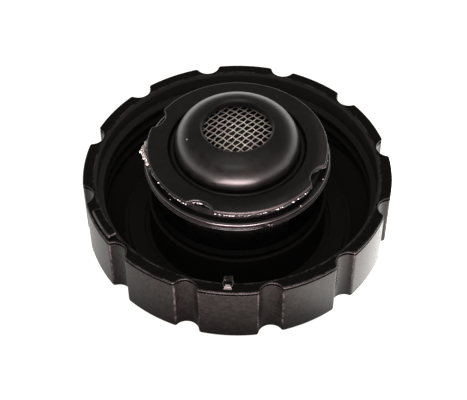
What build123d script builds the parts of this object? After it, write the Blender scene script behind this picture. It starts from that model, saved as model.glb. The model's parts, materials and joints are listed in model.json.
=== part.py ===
from build123d import *
from math import cos, radians, sin
import os

# Threaded pressure cap of a coolant expansion tank, lying on its outside with the valve side up.
# Millimetres. The origin is the middle of the flat crown that the cap lies on, +Z runs up the cap's axis
# through the domed valve insert. The insert snaps into the knob's collar and turns in it. Inside the
# insert a rubber-faced plate is pushed up against a seat by a strong spring, and a small poppet in the
# middle of the plate opens the other way.

os.makedirs("parts", exist_ok=True)

# Knob: scalloped skirt, crown and rim
skirt_height = 17.3
crown_height = 2.5
crown_foot_setback = 5.0
crown_slope_width = 5.5
crown_edge_round = 0.8
rim_width = 3.4
rim_chamfer = 0.5
skirt_edge_round = 1.6
notch_count = 12
notch_radius = 2.9
notch_depth = 2.3
notch_corner_round = 0.7
notch_phase = -78.3
lip_height = 0.5
lip_groove_height = 0.5
lip_groove_depth = 0.35

# Knob: inside
floor_thickness = 2.3
land_recess_width = 1.4
land_width = 4.1
land_step = 0.5
land_groove_width = 1.0
floor_rise_height = 3.2
floor_rise_width = 4.4
floor_rise_corner = 1.0
floor_rise_ledge = 1.2

# Internal thread of the knob, right-handed
thread_pitch = 3.75
thread_turns = 2.75
thread_depth = 1.4
thread_root_width = 2.5
thread_crest_width = 1.0
thread_lead_in = 3.6
thread_bite = 0.3
thread_start_angle = 20.0
thread_arcs = 8

# Pad and stop nib moulded on the rim
pad_height = 0.9
pad_inset = 0.6
pad_start_angle = -158.5
pad_end_angle = -144.0
pad_round = 0.8
nib_angle = -93.5
nib_width = 2.3
nib_height = 1.5
nib_overhang = 1.0
nib_inset = 0.9
nib_slope = 0.5
nib_dip_width = 0.8
nib_dip_depth = 0.7
nib_dip_place = 2.0

# Collar of the knob, its snap bead, and the clearances of the turning insert
collar_wall = 1.45
collar_height = 10.0
bead_depth = 0.75
bead_height = 1.6
bead_below_top = 1.2
bead_lead_share = 0.5
swivel_gap = 0.25
bottom_gap = 0.4
shoulder_gap = 0.2

# Valve carrier, the cup of the insert
waist_radius = 20.3
cup_wall = 2.0
cup_floor_thickness = 2.6
cup_height = 25.6
snap_lead = 0.8
shoulder_width = 0.9
shoulder_height = 1.8
seal_flange_reach = 1.7
seal_flange_thickness = 0.7
flange_notch_angle = -73.0
flange_notch_width = 1.6
flange_notch_depth = 0.6
neck_step = 0.2
neck_height = 2.3
rib_count = 6
rib_thickness = 1.5
rib_phase = 0.0
rib_gap = 0.3
window_count = 4
window_width = 6.0
window_height = 4.5
window_above_shoulder = 2.4
window_phase = 45.0
window_round = 1.0
spring_pilot_height = 1.6
spring_pilot_wall = 1.6

# Bore seal
seal_bulge = 0.3
seal_height = 1.8
seal_groove_depth = 0.9
seal_edge_round = 0.35

# Valve cover: flange, dome and inlet hole
cover_flange_setback = 0.5
cover_flange_thickness = 1.0
cover_flange_round = 0.25
flange_scallop_angles = (-113.8, -27.3, 155.3)
flange_scallop_radius = 4.2
flange_scallop_depth = 1.9
cover_spigot_gap = 0.1
cover_spigot_height = 0.9
moat_radius = 16.4
moat_depth = 1.2
dome_radius = 14.85
dome_height = 6.5
dome_shoulder_round = 6.2
dome_dish_depth = 0.35
hole_radius = 8.2
hole_edge_round = 0.4
top_thickness = 2.1
dome_wall = 1.45
screen_chamber_height = 1.4
screen_ledge_width = 2.6

# Strainer and the ring that holds it
screen_thickness = 0.5
screen_pitch_a = 1.356
screen_pitch_b = 1.781
screen_angle = 47.4
screen_wire = 0.4
screen_open_radius = 8.9
ring_height = 2.3
ring_lead = 0.3
ring_width = 3.2
seat_lip_width = 0.8
seat_lip_height = 0.6
seat_lip_inset = 0.4

# Pressure valve
plate_radius = 12.9
plate_thickness = 1.4
plate_rim_width = 0.8
plate_rim_height = 0.8
disc_thickness = 1.4
disc_hole_radius = 3.4
disc_fit = 0.05
boss_radius = 1.8
boss_height = 2.1
air_hole_count = 4
air_hole_radius = 0.65
air_hole_circle = 2.55

# Springs
pressure_coil_radius = 9.6
pressure_wire_radius = 0.9
pressure_turns = 4.5
vacuum_coil_radius = 2.5
vacuum_wire_radius = 0.25
vacuum_turns = 4.0
coil_gap = 0.3

# Vacuum poppet
poppet_radius = 5.0
poppet_thickness = 1.0
stem_radius = 1.2
stem_gap = 0.08
stem_tail = 1.2
clip_radius = 3.2
clip_thickness = 0.8
clip_groove_depth = 0.4
clip_mouth_width = 1.3
vacuum_spring_length = 4.5

# Heights and radii that follow from the driving sizes
rim_z = crown_height + skirt_height
recess_z = floor_thickness - land_step
collar_bore_radius = waist_radius + swivel_gap
collar_radius = collar_bore_radius + collar_wall
land_inner_radius = collar_radius + land_recess_width
land_outer_radius = land_inner_radius + land_width
floor_rise_foot = land_outer_radius + land_groove_width
floor_rise_radius = floor_rise_foot + floor_rise_width
thread_root_radius = floor_rise_radius + floor_rise_ledge
knob_radius = thread_root_radius + rim_width
crown_foot_radius = knob_radius - crown_foot_setback
crown_radius = crown_foot_radius - crown_slope_width
collar_top_z = recess_z + collar_height
bead_top_z = collar_top_z - bead_below_top
bead_bottom_z = bead_top_z - bead_height
bead_tip_radius = collar_bore_radius - bead_depth
bead_lead = bead_depth * bead_lead_share

cup_bottom_z = recess_z + bottom_gap
cup_floor_z = cup_bottom_z + cup_floor_thickness
cup_top_z = cup_bottom_z + cup_height
cup_bore_radius = waist_radius - cup_wall
neck_radius = waist_radius + neck_step
seal_flange_radius = waist_radius + seal_flange_reach
seal_radius = seal_flange_radius + seal_bulge
cover_flange_radius = seal_flange_radius - cover_flange_setback
shoulder_z = collar_top_z + shoulder_gap
seal_top_z = cup_top_z - neck_height
seal_z = seal_top_z - seal_height
seal_flange_z = seal_z - seal_flange_thickness
seal_seat_radius = neck_radius - seal_groove_depth
snap_groove_radius = bead_tip_radius - swivel_gap

spigot_radius = cup_bore_radius - cover_spigot_gap
spigot_z = cup_top_z - cover_spigot_height
flange_top_z = cup_top_z + cover_flange_thickness
dome_top_z = flange_top_z + dome_height
dome_bore_radius = dome_radius - dome_wall
plate_chamber_z = dome_top_z - top_thickness
screen_top_z = plate_chamber_z - screen_chamber_height
screen_z = screen_top_z - screen_thickness
screen_ledge_radius = dome_bore_radius - screen_ledge_width
ring_z = screen_z - ring_height
ring_bore_radius = dome_bore_radius - ring_width
seat_z = ring_z - seat_lip_height

disc_radius = plate_radius - plate_rim_width
disc_z = seat_z - disc_thickness
plate_z = disc_z - plate_thickness
boss_z = plate_z - boss_height
stem_bore_radius = stem_radius + stem_gap
rib_tip_radius = plate_radius + rib_gap
clip_z = boss_z - vacuum_spring_length - clip_thickness
stem_bottom_z = clip_z - stem_tail
clip_groove_radius = stem_radius - clip_groove_depth
spring_pilot_radius = pressure_coil_radius - pressure_wire_radius - coil_gap


# Half width of the band in which edges are picked by their height or radius
pick_band = 0.01


def on_circle(radius, angle):
    """Point of a circle about the axis, by its angle in degrees."""
    return radius * cos(radians(angle)), radius * sin(radians(angle))


def scalloped_outline(inset=0.0):
    """Knob's outline with its rounded grip notches, moved inwards by inset."""
    notch_centre = knob_radius - notch_depth + notch_radius
    with BuildSketch() as outline:
        Circle(knob_radius)
        with PolarLocations(notch_centre, notch_count, start_angle=notch_phase):
            Circle(notch_radius, mode=Mode.SUBTRACT)
        fillet(outline.vertices(), notch_corner_round)
        if inset > 0:
            offset(amount=-inset, kind=Kind.ARC)
    return outline.sketch


def coil(coil_radius, wire_radius, turns, low_z, high_z):
    """Compression spring of round wire with both ends ground flat."""
    free_height = high_z - low_z
    pitch = free_height / turns
    with BuildPart() as spring:
        with BuildLine() as path:
            Helix(pitch=pitch, height=free_height, radius=coil_radius, center=(0, 0, low_z))
        with BuildSketch(Plane(origin=path.line @ 0, z_dir=path.line % 0)):
            Circle(wire_radius)
        sweep(path=path.line, is_frenet=True)
        split(bisect_by=Plane.XY.offset(low_z), keep=Keep.TOP)
        split(bisect_by=Plane.XY.offset(high_z), keep=Keep.BOTTOM)
    return spring.part


# Thread ridge: a trapezium swept along a right-handed helix, its root sunk a little into the wall.
# It is made as one arc of less than a turn, and the arcs are joined end to end inside the knob.
thread_height = thread_turns * thread_pitch
thread_low_z = rim_z - thread_lead_in - thread_height
arc_rise = thread_height / thread_arcs
arc_angle = 360 * thread_turns / thread_arcs
with BuildPart() as thread_arc:
    with BuildLine(Plane.XY.offset(thread_low_z)) as arc_path:
        Helix(pitch=thread_pitch, height=arc_rise, radius=thread_root_radius)
    with BuildSketch(Plane(origin=arc_path.line @ 0, x_dir=(1, 0, 0), z_dir=(0, 1, 0))):
        with BuildLine():
            Polyline(
                (thread_bite, -thread_root_width / 2),
                (0, -thread_root_width / 2),
                (-thread_depth, -thread_crest_width / 2),
                (-thread_depth, thread_crest_width / 2),
                (0, thread_root_width / 2),
                (thread_bite, thread_root_width / 2),
                close=True,
            )
        make_face()
    sweep(path=arc_path.line, is_frenet=True)

# Stop nib: a rib across the rim with a rounded inner end and a dip in its back
nib_inner = thread_root_radius - nib_overhang
nib_outer = knob_radius - nib_inset
nib_dip = nib_inner + nib_dip_place
nib_end = nib_inner + nib_width / 2
with BuildPart() as stop_nib:
    with BuildSketch(Plane.XY.rotated((0, 0, nib_angle)).offset(rim_z - nib_height)):
        with Locations((nib_end, 0)):
            Circle(nib_width / 2)
            Rectangle(nib_outer - nib_end, nib_width, align=(Align.MIN, Align.CENTER))
    extrude(amount=2 * nib_height)
    with BuildSketch(Plane.XZ.rotated((0, 0, nib_angle))):
        with BuildLine():
            Polyline(
                (nib_inner, rim_z - nib_height),
                (nib_inner, rim_z + nib_height - nib_slope),
                (nib_inner + nib_slope, rim_z + nib_height),
                (nib_dip - nib_dip_width / 2, rim_z + nib_height),
                (nib_dip, rim_z + nib_height - nib_dip_depth),
                (nib_dip + nib_dip_width / 2, rim_z + nib_height),
                (nib_outer - nib_slope, rim_z + nib_height),
                (nib_outer, rim_z),
                (nib_outer, rim_z - lip_height / 2),
                (thread_root_radius + rim_chamfer, rim_z - nib_height),
                close=True,
            )
        make_face()
    extrude(amount=nib_width, both=True, mode=Mode.INTERSECT)

# Knob: the scalloped skirt, its crown, and everything moulded inside it
with BuildPart() as cap_shell:
    with BuildSketch(Plane.XY.offset(crown_height)):
        add(scalloped_outline())
    extrude(amount=skirt_height)
    fillet(cap_shell.edges().group_by(Axis.Z)[0], skirt_edge_round)

    # Raised crown, which the cap lies on
    with BuildSketch(Plane.XZ):
        with BuildLine():
            Polyline(
                (0, crown_height + floor_thickness),
                (0, 0),
                (crown_radius, 0),
                (crown_foot_radius, crown_height),
                (crown_foot_radius, crown_height + floor_thickness),
                close=True,
            )
        make_face()
    revolve(axis=Axis.Z)
    fillet(cap_shell.edges().group_by(Axis.Z)[0], crown_edge_round)

    # Hollow: threaded wall, rise beside it, groove, land and the recess round the collar
    with BuildSketch(Plane.XZ):
        with BuildLine():
            Polyline(
                (0, recess_z),
                (land_inner_radius, recess_z),
                (land_inner_radius, floor_thickness),
                (land_outer_radius, floor_thickness),
                (land_outer_radius, recess_z),
                (floor_rise_foot, recess_z),
                (floor_rise_radius, recess_z + floor_rise_height),
                (thread_root_radius, recess_z + floor_rise_height + floor_rise_corner),
                (thread_root_radius, rim_z - rim_chamfer),
                (thread_root_radius + rim_chamfer, rim_z),
                (0, rim_z),
                close=True,
            )
        make_face()
    revolve(axis=Axis.Z, mode=Mode.SUBTRACT)

    # Fine groove that sets off the lip round the rim
    with BuildSketch(Plane.XY.offset(rim_z - lip_height - lip_groove_height)):
        Circle(knob_radius + rim_width)
        add(scalloped_outline(lip_groove_depth), mode=Mode.SUBTRACT)
    extrude(amount=lip_groove_height, mode=Mode.SUBTRACT)

    # Collar with the snap bead inside its mouth
    with BuildSketch(Plane.XZ):
        with BuildLine():
            Polyline(
                (collar_radius, recess_z),
                (collar_radius, collar_top_z),
                (collar_bore_radius, collar_top_z),
                (collar_bore_radius, bead_top_z),
                (bead_tip_radius, bead_top_z - bead_lead),
                (bead_tip_radius, bead_bottom_z + bead_lead),
                (collar_bore_radius, bead_bottom_z),
                (collar_bore_radius, recess_z),
                close=True,
            )
        make_face()
    revolve(axis=Axis.Z)

    # Internal thread
    for arc in range(thread_arcs):
        with Locations((0, 0, arc * arc_rise)):
            add(thread_arc.part, rotation=(0, 0, thread_start_angle + arc * arc_angle))

    # Pad on the rim
    pad_inner = thread_root_radius + rim_chamfer
    pad_outer = knob_radius - pad_inset
    with BuildSketch(Plane.XY.offset(rim_z)) as pad:
        Circle(pad_outer)
        Circle(pad_inner, mode=Mode.SUBTRACT)
        with BuildLine():
            Polyline(
                (0, 0),
                on_circle(2 * knob_radius, pad_start_angle),
                on_circle(2 * knob_radius, pad_end_angle),
                close=True,
            )
        make_face(mode=Mode.INTERSECT)
        fillet(pad.vertices(), pad_round)
    extrude(amount=pad_height)

    # Stop nib
    add(stop_nib.part)

cap_shell.part.label = "cap_shell"
export_step(cap_shell.part, "parts/cap_shell.step")

# Valve carrier: cup, snap groove, shoulder, seal flange and neck, turned in one profile
with BuildPart() as valve_carrier:
    with BuildSketch(Plane.XZ):
        with BuildLine():
            Polyline(
                (0, cup_bottom_z),
                (waist_radius - snap_lead, cup_bottom_z),
                (waist_radius, cup_bottom_z + snap_lead),
                (waist_radius, bead_bottom_z - swivel_gap),
                (snap_groove_radius, bead_bottom_z - swivel_gap),
                (snap_groove_radius, bead_top_z + swivel_gap),
                (waist_radius, bead_top_z + swivel_gap),
                (waist_radius, shoulder_z),
                (waist_radius + shoulder_width, shoulder_z),
                (waist_radius + shoulder_width, shoulder_z + shoulder_height / 2),
                (waist_radius, shoulder_z + shoulder_height),
                (waist_radius, seal_flange_z),
                (seal_flange_radius, seal_flange_z),
                (seal_flange_radius, seal_z),
                (seal_seat_radius, seal_z),
                (seal_seat_radius, seal_top_z),
                (neck_radius, seal_top_z),
                (neck_radius, cup_top_z),
                (cup_bore_radius, cup_top_z),
                (cup_bore_radius, cup_floor_z),
                (0, cup_floor_z),
                close=True,
            )
        make_face()
    revolve(axis=Axis.Z)

    # Ring on the floor that centres the spring
    with BuildSketch(Plane.XY.offset(cup_floor_z)):
        Circle(spring_pilot_radius)
        Circle(spring_pilot_radius - spring_pilot_wall, mode=Mode.SUBTRACT)
    extrude(amount=spring_pilot_height)

    # Ribs that guide the pressure plate, up to the cover's spigot
    rib_reach = cup_bore_radius + cup_wall / 2
    for rib in range(rib_count):
        rib_plane = Plane.XZ.rotated((0, 0, rib_phase + rib * 360 / rib_count))
        with BuildSketch(rib_plane):
            with BuildLine():
                Polyline(
                    (rib_tip_radius, cup_floor_z),
                    (rib_reach, cup_floor_z),
                    (rib_reach, spigot_z - rib_gap),
                    (rib_tip_radius, spigot_z - rib_gap),
                    close=True,
                )
            make_face()
        extrude(amount=rib_thickness / 2, both=True)

    # Vent windows in the waist
    window_z = shoulder_z + shoulder_height + window_above_shoulder
    for window in range(window_count):
        window_angle = window_phase + window * 360 / window_count
        window_plane = Plane.XZ.rotated((0, 0, window_angle + 90)).offset(cup_bore_radius - cup_wall)
        with BuildSketch(window_plane) as opening:
            with Locations((0, window_z + window_height / 2)):
                Rectangle(window_width, window_height)
            fillet(opening.vertices(), window_round)
        extrude(amount=3 * cup_wall, mode=Mode.SUBTRACT)

    # Nick in the seal flange's edge
    with BuildSketch(Plane.XY.rotated((0, 0, flange_notch_angle)).offset(seal_flange_z)):
        with Locations((seal_flange_radius, 0)):
            Rectangle(2 * flange_notch_depth, flange_notch_width)
    extrude(amount=seal_flange_thickness, mode=Mode.SUBTRACT)

valve_carrier.part.label = "valve_carrier"
export_step(valve_carrier.part, "parts/valve_carrier.step")

# Bore seal: a flat rubber ring in the carrier's groove
with BuildPart() as bore_seal:
    with BuildSketch(Plane.XY.offset(seal_z)):
        Circle(seal_radius)
        Circle(seal_seat_radius, mode=Mode.SUBTRACT)
    extrude(amount=seal_height)
    outer_edges = bore_seal.edges().filter_by(GeomType.CIRCLE).sort_by(SortBy.RADIUS)[-2:]
    fillet(outer_edges, seal_edge_round)

bore_seal.part.label = "bore_seal"
export_step(bore_seal.part, "parts/bore_seal.step")

# Valve cover: flange and dome in one turned profile, the hole, and the three scallops
with BuildPart() as valve_cover:
    with BuildSketch(Plane.XZ):
        with BuildLine():
            dish = Polyline(
                (hole_radius, plate_chamber_z),
                (hole_radius, dome_top_z - dome_dish_depth),
                (dome_radius - dome_shoulder_round, dome_top_z),
            )
            shoulder = RadiusArc(dish @ 1, (dome_radius, dome_top_z - dome_shoulder_round), dome_shoulder_round)
            Polyline(
                shoulder @ 1,
                (dome_radius, flange_top_z - moat_depth),
                (moat_radius, flange_top_z - moat_depth),
                (moat_radius, flange_top_z),
                (cover_flange_radius, flange_top_z),
                (cover_flange_radius, cup_top_z),
                (spigot_radius, cup_top_z),
                (spigot_radius, spigot_z),
                (dome_bore_radius, spigot_z),
                (dome_bore_radius, screen_top_z),
                (screen_ledge_radius, screen_top_z),
                (screen_ledge_radius, plate_chamber_z),
                (hole_radius, plate_chamber_z),
            )
        make_face()
    revolve(axis=Axis.Z)

    scallop_centre = cover_flange_radius - flange_scallop_depth + flange_scallop_radius
    for angle in flange_scallop_angles:
        with BuildSketch(Plane.XY.offset(cup_top_z)):
            with Locations(on_circle(scallop_centre, angle)):
                Circle(flange_scallop_radius)
        extrude(amount=cover_flange_thickness, mode=Mode.SUBTRACT)

    # Rounded edges: the flange's rim with its scallops, not the moat, and the hole's mouth
    arcs = valve_cover.edges().filter_by(GeomType.CIRCLE)
    flange_edges = arcs.filter_by_position(Axis.Z, flange_top_z - pick_band, flange_top_z + pick_band)
    fillet(flange_edges.filter_by(lambda edge: abs(edge.radius - moat_radius) > pick_band), cover_flange_round)
    arcs = valve_cover.edges().filter_by(GeomType.CIRCLE)
    mouth_z = dome_top_z - dome_dish_depth
    fillet(arcs.filter_by_position(Axis.Z, mouth_z - pick_band, mouth_z + pick_band), hole_edge_round)

valve_cover.part.label = "valve_cover"
export_step(valve_cover.part, "parts/valve_cover.step")

# Strainer: a disc with the woven cloth's openings, and a solid margin where it is clamped
with BuildPart() as screen_mesh:
    with BuildSketch(Plane.XY.offset(screen_z)):
        Circle(dome_bore_radius)
    extrude(amount=screen_thickness)
    cells = int(2 * screen_open_radius / screen_pitch_a) + 2
    cloth_plane = Plane.XY.rotated((0, 0, screen_angle)).offset(screen_z)
    places = [
        (screen_pitch_b * (column - cells // 2), screen_pitch_a * (row - cells // 2))
        for column in range(cells)
        for row in range(cells)
    ]
    reach = screen_open_radius - max(screen_pitch_a, screen_pitch_b) / 2
    with BuildSketch(cloth_plane):
        with Locations([place for place in places if Vector(*place).length < reach]):
            Rectangle(screen_pitch_b - screen_wire, screen_pitch_a - screen_wire)
    extrude(amount=screen_thickness, mode=Mode.SUBTRACT)

screen_mesh.part.label = "screen_mesh"
export_step(screen_mesh.part, "parts/screen_mesh.step")

# Ring pressed in under the strainer, with the valve's seat lip below
with BuildPart() as screen_ring:
    with BuildSketch(Plane.XZ):
        lip_radius = ring_bore_radius + seat_lip_inset
        with BuildLine():
            Polyline(
                (ring_bore_radius, screen_z),
                (dome_bore_radius, screen_z),
                (dome_bore_radius, ring_z + ring_lead),
                (dome_bore_radius - ring_lead, ring_z),
                (lip_radius + seat_lip_width, ring_z),
                (lip_radius + seat_lip_width, seat_z),
                (lip_radius, seat_z),
                (lip_radius, ring_z),
                (ring_bore_radius, ring_z),
                close=True,
            )
        make_face()
    revolve(axis=Axis.Z)

screen_ring.part.label = "screen_ring"
export_step(screen_ring.part, "parts/screen_ring.step")

# Pressure plate: a shallow tray for the rubber disc, with a boss that guides the poppet's stem
with BuildPart() as pressure_plate:
    with BuildSketch(Plane.XZ):
        with BuildLine():
            Polyline(
                (stem_bore_radius, boss_z),
                (boss_radius, boss_z),
                (boss_radius, plate_z),
                (plate_radius, plate_z),
                (plate_radius, disc_z + plate_rim_height),
                (disc_radius, disc_z + plate_rim_height),
                (disc_radius, disc_z),
                (stem_bore_radius, disc_z),
                close=True,
            )
        make_face()
    revolve(axis=Axis.Z)
    with BuildSketch(Plane.XY.offset(plate_z)):
        with PolarLocations(air_hole_circle, air_hole_count):
            Circle(air_hole_radius)
    extrude(amount=plate_thickness, mode=Mode.SUBTRACT)

pressure_plate.part.label = "pressure_plate"
export_step(pressure_plate.part, "parts/pressure_plate.step")

# Rubber disc of the pressure plate
with BuildPart() as pressure_seal:
    with BuildSketch(Plane.XY.offset(disc_z)):
        Circle(disc_radius - disc_fit)
        Circle(disc_hole_radius, mode=Mode.SUBTRACT)
    extrude(amount=disc_thickness)

pressure_seal.part.label = "pressure_seal"
export_step(pressure_seal.part, "parts/pressure_seal.step")

# Vacuum poppet: a flat head on the rubber disc, and a stem with a groove for its clip
with BuildPart() as vacuum_poppet:
    with BuildSketch(Plane.XZ):
        with BuildLine():
            Polyline(
                (0, stem_bottom_z),
                (clip_groove_radius, stem_bottom_z),
                (stem_radius, stem_bottom_z + clip_groove_depth),
                (stem_radius, clip_z),
                (clip_groove_radius, clip_z),
                (clip_groove_radius, clip_z + clip_thickness),
                (stem_radius, clip_z + clip_thickness),
                (stem_radius, seat_z),
                (poppet_radius, seat_z),
                (poppet_radius, seat_z + poppet_thickness / 2),
                (poppet_radius - poppet_thickness / 2, seat_z + poppet_thickness),
                (0, seat_z + poppet_thickness),
                close=True,
            )
        make_face()
    revolve(axis=Axis.Z)

vacuum_poppet.part.label = "vacuum_poppet"
export_step(vacuum_poppet.part, "parts/vacuum_poppet.step")

# Clip on the poppet's stem: a washer, open on one side so that it can be pushed on
with BuildPart() as vacuum_clip:
    with BuildSketch(Plane.XY.offset(clip_z)):
        Circle(clip_radius)
        Circle(clip_groove_radius, mode=Mode.SUBTRACT)
        with Locations((clip_radius / 2, 0)):
            Rectangle(clip_radius, clip_mouth_width, mode=Mode.SUBTRACT)
    extrude(amount=clip_thickness)

vacuum_clip.part.label = "vacuum_clip"
export_step(vacuum_clip.part, "parts/vacuum_clip.step")

# Strong spring, between the carrier's floor and the pressure plate
with BuildPart() as pressure_spring:
    add(coil(pressure_coil_radius, pressure_wire_radius, pressure_turns, cup_floor_z, plate_z))

pressure_spring.part.label = "pressure_spring"
export_step(pressure_spring.part, "parts/pressure_spring.step")

# Light spring, between the stem's clip and the plate's boss
with BuildPart() as vacuum_spring:
    add(coil(vacuum_coil_radius, vacuum_wire_radius, vacuum_turns, clip_z + clip_thickness, boss_z))

vacuum_spring.part.label = "vacuum_spring"
export_step(vacuum_spring.part, "parts/vacuum_spring.step")
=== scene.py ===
# %% [markdown]
# # A pressure cap from a coolant tank, dressed for a studio picture
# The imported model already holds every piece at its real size: the scalloped knob, the valve insert that turns
# in it, and the valves and springs inside. This lesson keeps those sizes and makes what a camera sees: soft
# moulded edges, woven steel cloth, a squeezed-out weld seam, lime crust and black plastic that isn't just black.

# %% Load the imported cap
import json
import math
import random

import bpy
from mathutils import Matrix, Vector, noise


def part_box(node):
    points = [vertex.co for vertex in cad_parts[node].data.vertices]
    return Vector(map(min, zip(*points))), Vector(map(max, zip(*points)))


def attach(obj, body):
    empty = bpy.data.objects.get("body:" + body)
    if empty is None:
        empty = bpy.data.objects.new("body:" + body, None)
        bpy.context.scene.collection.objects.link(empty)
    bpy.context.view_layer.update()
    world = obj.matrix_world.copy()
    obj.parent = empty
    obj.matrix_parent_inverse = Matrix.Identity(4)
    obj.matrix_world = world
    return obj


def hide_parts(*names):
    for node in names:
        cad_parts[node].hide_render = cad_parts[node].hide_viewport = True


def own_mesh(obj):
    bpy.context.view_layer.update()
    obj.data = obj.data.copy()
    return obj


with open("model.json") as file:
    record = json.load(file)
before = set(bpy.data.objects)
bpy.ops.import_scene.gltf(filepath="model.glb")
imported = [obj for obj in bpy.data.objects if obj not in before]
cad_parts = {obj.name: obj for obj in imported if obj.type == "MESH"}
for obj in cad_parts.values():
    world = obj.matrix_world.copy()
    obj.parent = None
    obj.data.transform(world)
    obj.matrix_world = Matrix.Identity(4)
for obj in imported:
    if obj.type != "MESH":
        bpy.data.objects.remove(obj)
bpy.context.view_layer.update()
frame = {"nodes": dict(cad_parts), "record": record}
mm = 0.001

# %% [markdown]
# ## Sizes that come from the frame
# A visual piece has to lie where the solid lies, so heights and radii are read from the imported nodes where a
# node's box gives them. The smaller sizes that no box shows are the mould's own, and are named here in millimetres.

# %% Heights and radii
knob_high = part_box("cap_shell")[1]
cover_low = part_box("valve_cover")[0]
cloth_low, cloth_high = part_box("screen_mesh")

nib_height = 1.5 * mm
knob_radius = knob_high.x
rim_z = knob_high.z - nib_height
cover_spigot = 0.9 * mm
flange_z = cover_low.z + cover_spigot
print("rim at", round(rim_z / mm, 2), "flange at", round(flange_z / mm, 2))

# %% [markdown]
# ## The camera
# The photograph looks down on the cap at almost 49 degrees with a moderately long lens. The camera was solved
# from the 24 corners of the 12 grip notches, which lie on one known circle. So it stands at a measured place,
# turned by a third of a degree as a hand-held camera is, and keeps its shift and its blur off.

# %% Camera
camera_place = (0, -207.9 * mm, 245.2 * mm)
camera_pitch, camera_yaw, camera_roll = math.radians(48.67), math.radians(-0.27), math.radians(-0.31)
sensor_width = 36.0
image_width, focal_pixels = 467, 1263

bpy.ops.object.select_all(action="DESELECT")
bpy.ops.object.camera_add(location=camera_place)
camera = bpy.context.object
camera.name = "photo_camera"
camera.rotation_euler = (
    Matrix.Rotation(-camera_yaw, 3, "Z")
    @ Matrix.Rotation(math.pi / 2 - camera_pitch, 3, "X")
    @ Matrix.Rotation(camera_roll, 3, "Z")
).to_euler()
camera.data.sensor_width = sensor_width
camera.data.lens = sensor_width * focal_pixels / image_width
camera.data.clip_start = 1 * mm
bpy.context.scene.camera = camera
print("lens", round(camera.data.lens, 1), "mm")

# %% [markdown]
# ## A white floor that glows
# The photograph is a catalogue shot: the ground is pure white and swallows the shadow. Strong lamps over a white
# sheet would do that, but they would lift the blacks as well. A floor that glows a little keeps them, and it lights
# the skirt from below, which is where the grey of those upright walls comes from. Glossy black shows its
# surroundings more than its own colour, so the glow is a pattern: stronger far out, and stronger near the cap on
# the right, where the photographed skirt turns pale towards its edge.


# %% Node helpers
def vector_step(nodes, links, operation, source, other=None):
    """One step of vector arithmetic, fed by a source and, where given, by a fixed second vector."""
    step = nodes.new("ShaderNodeVectorMath")
    step.operation = operation
    links.new(source, step.inputs[0])
    if other:
        step.inputs[1].default_value = other
    return step


def span(nodes, links, source, start, end, low=0.0, high=1.0, curve="SMOOTHSTEP"):
    """Carries a value from one range to another, softly unless the curve is linear."""
    reach = nodes.new("ShaderNodeMapRange")
    reach.interpolation_type = curve
    reach.inputs["From Min"].default_value, reach.inputs["From Max"].default_value = start, end
    reach.inputs["To Min"].default_value, reach.inputs["To Max"].default_value = low, high
    links.new(source, reach.inputs["Value"])
    return reach.outputs["Result"]


# %% Floor
floor_size = 6.0
bpy.ops.object.select_all(action="DESELECT")
bpy.ops.mesh.primitive_plane_add(size=floor_size, location=(0, 0, 0))
floor = bpy.context.object
floor.name = "studio_floor"

paper = bpy.data.materials.new("white_paper")
paper.use_nodes = True
paper_nodes, paper_links = paper.node_tree.nodes, paper.node_tree.links
paper_shader = paper_nodes["Principled BSDF"]
paper_shader.inputs["Base Color"].default_value = (0.4, 0.4, 0.4, 1)
paper_shader.inputs["Roughness"].default_value = 0.9
paper_shader.inputs["Specular IOR Level"].default_value = 0.0
paper_shader.inputs["Emission Color"].default_value = (1.0, 0.97, 0.94, 1)
paper_place = paper_nodes.new("ShaderNodeTexCoord").outputs["Object"]
paper_reach = vector_step(paper_nodes, paper_links, "LENGTH", paper_place).outputs["Value"]
paper_glow = span(paper_nodes, paper_links, paper_reach, 60 * mm, 260 * mm, 1.08, 2.2)
floor.data.materials.append(paper)
print("floor", floor_size, "m wide")

# %% Brighter paper on the right
side_angle = math.radians(-15)
side_way = (math.cos(side_angle), math.sin(side_angle), 0)
side_place = vector_step(paper_nodes, paper_links, "DOT_PRODUCT", paper_place, side_way).outputs["Value"]
side_glow = span(paper_nodes, paper_links, side_place, 27 * mm, 38 * mm, 0.0, 2.6)
side_fade = span(paper_nodes, paper_links, paper_reach, 60 * mm, 130 * mm, 1.0, 0.0, curve="LINEAR")
glow = paper_nodes.new("ShaderNodeMath")
glow.operation = "MULTIPLY_ADD"
for source, socket in zip((side_glow, side_fade, paper_glow), glow.inputs):
    paper_links.new(source, socket)
paper_links.new(glow.outputs["Value"], paper_shader.inputs["Emission Strength"])
print("paper nodes", len(paper_nodes))

# %% [markdown]
# ## A painted shadow under the front edge
# So bright a floor would be mirrored in the lower skirt as a pale band, where the floor next to a real cap lies in its
# shadow.
# So a dark sheet is laid there as a painted shadow: the plastic sees the sheet and the camera doesn't. A plain black
# sheet would show its hard edge in the reflection, so the sheet is a tint that fades, nearly black below the cap and
# clear further out.

# %% Painted shadow sheet
shadow_sheet_size, shadow_sheet_z = 140 * mm, 0.05 * mm
bpy.ops.object.select_all(action="DESELECT")
bpy.ops.mesh.primitive_plane_add(size=shadow_sheet_size, location=(0, 0, shadow_sheet_z))
shadow_sheet = bpy.context.object
shadow_sheet.name = "painted_shadow_sheet"
shadow_sheet.visible_camera = False

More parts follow.
